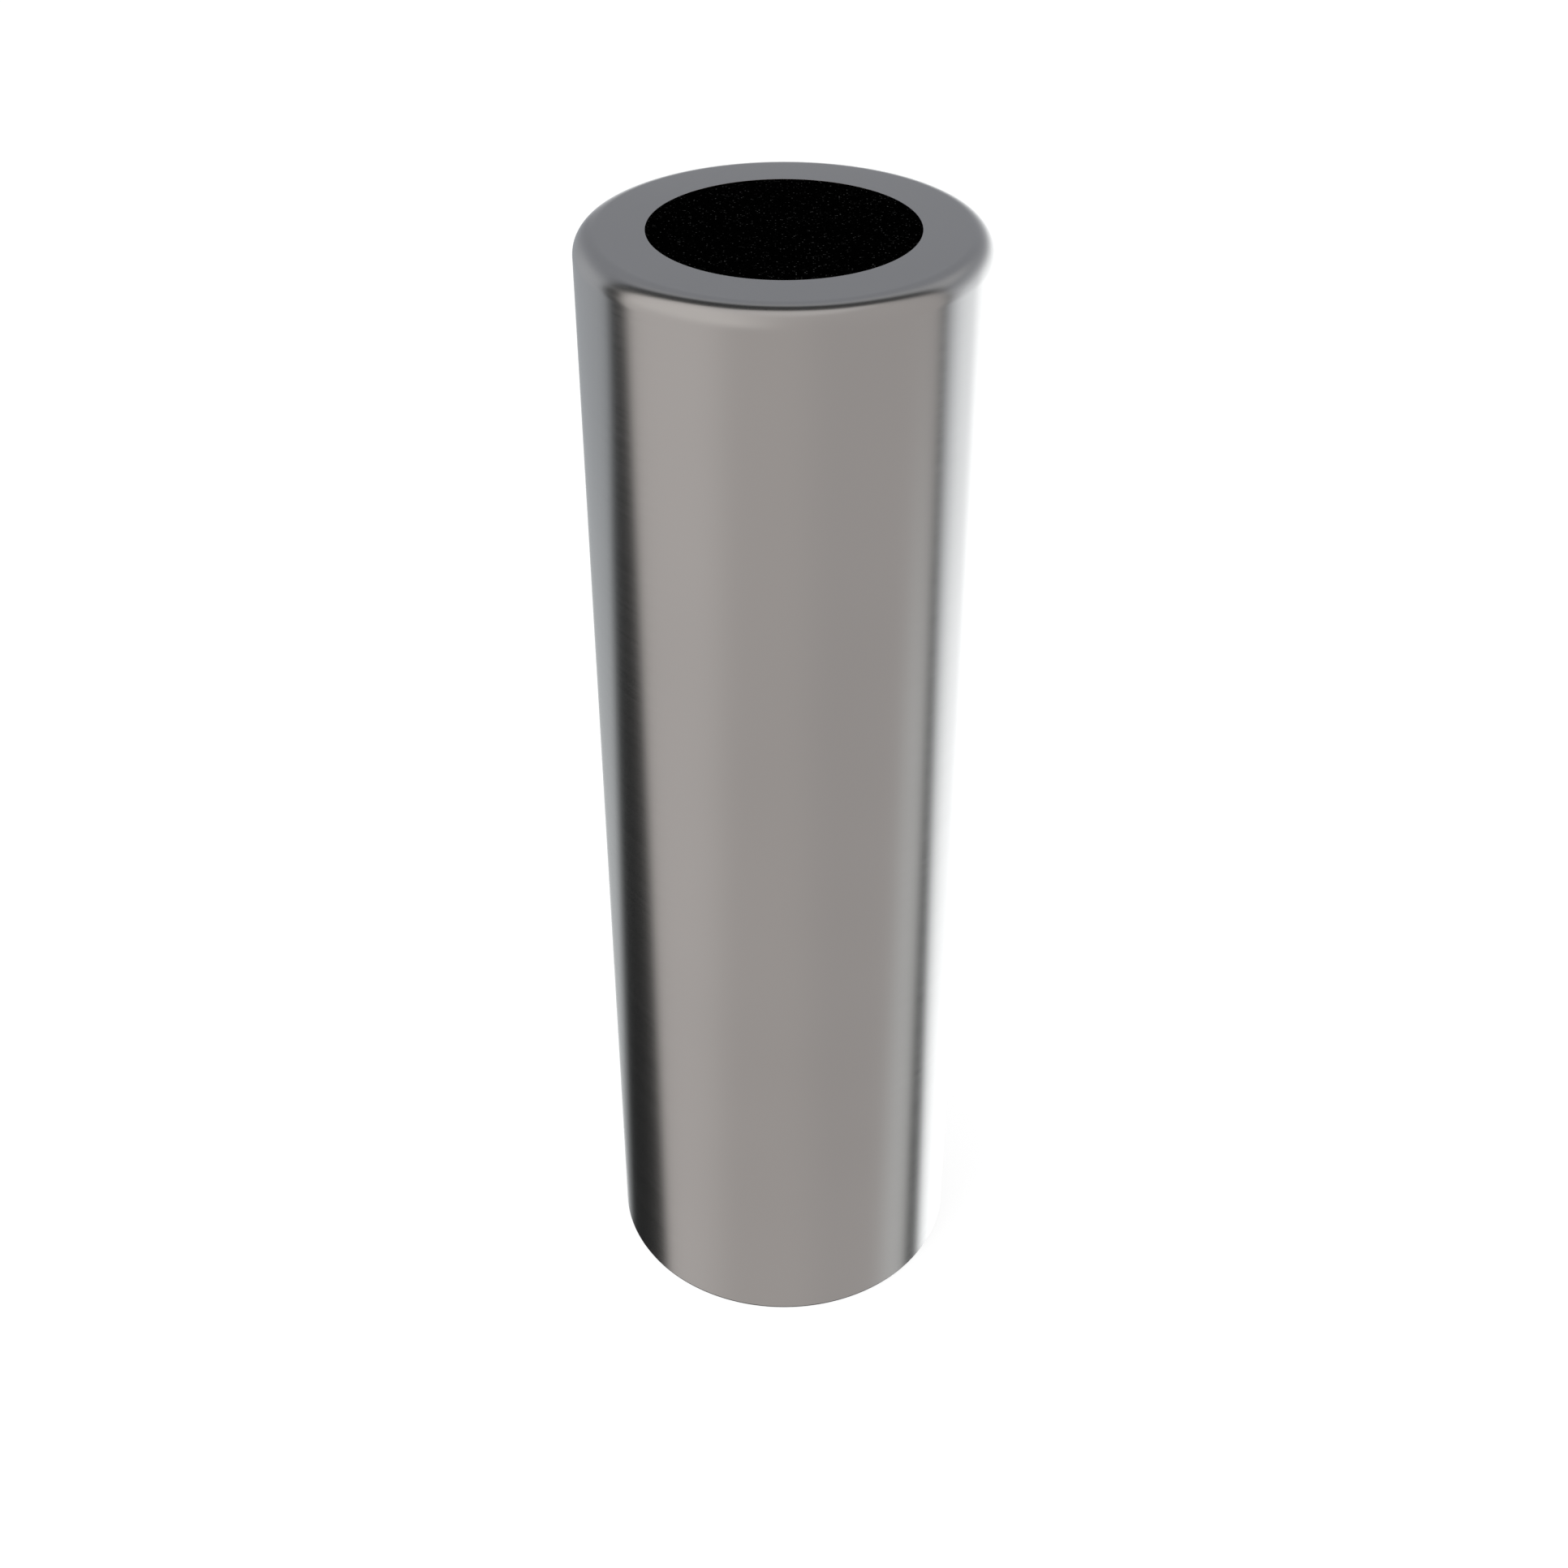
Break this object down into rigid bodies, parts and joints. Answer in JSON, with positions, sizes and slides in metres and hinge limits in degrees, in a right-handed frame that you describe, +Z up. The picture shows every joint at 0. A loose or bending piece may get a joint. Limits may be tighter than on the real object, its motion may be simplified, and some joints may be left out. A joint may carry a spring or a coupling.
{
  "type": "safety bollard",
  "caption": "Free-standing round stainless steel safety bollard with a rounded top edge and a flush round black insert, bolted down inside.",
  "frame": {"origin": "on the ground at the middle of the base", "axes": "+Z up along the bollard's own axis; the first anchor hole lies on +X"},
  "size_m": [0.22, 0.22, 0.7],
  "materials": {
    "polished_stainless": "satin polished stainless steel",
    "stainless_fastener": "plain stainless steel",
    "galvanised_steel": "hot-dip galvanised, dull",
    "weld_metal": "rippled weld under zinc",
    "concrete": "rough cast concrete",
    "rubber": "matt black EPDM",
    "guide_plastic": "matt black polyethylene",
    "insert_aluminium": "mill finish",
    "grit_facing": "black bonded grit"
  },
  "bodies": {
    "core": {"base_plate": "galvanised_steel", "core_post": "galvanised_steel", "foot_weld": "weld_metal", "top_weld": "weld_metal", "rib_1": "galvanised_steel", "rib_2": "galvanised_steel", "rib_3": "galvanised_steel", "rib_4": "galvanised_steel", "concrete_fill": "concrete", "head_plate": "galvanised_steel", "weld_nut": "galvanised_steel", "head_pad": "rubber", "upper_guide_ring": "guide_plastic", "lower_guide_ring": "guide_plastic"},
    "sleeve": {"outer_sleeve": "polished_stainless", "base_seal": "rubber", "top_cap": "polished_stainless", "sealing_washer": "rubber", "plate_washer": "stainless_fastener", "spring_washer": "stainless_fastener", "fixing_bolt": "stainless_fastener"},
    "insert": {"insert_plate": "insert_aluminium", "insert_ring": "rubber", "insert_facing": "grit_facing"}
  },
  "joints": [
    {"name": "sleeve_lift", "type": "slide", "parent": "core", "child": "sleeve", "axis": [0, 0, 1], "range_m": [0, 0.72]},
    {"name": "insert_lift", "type": "slide", "parent": "sleeve", "child": "insert", "axis": [0, 0, 1], "range_m": [0, 0.08]}
  ]
}
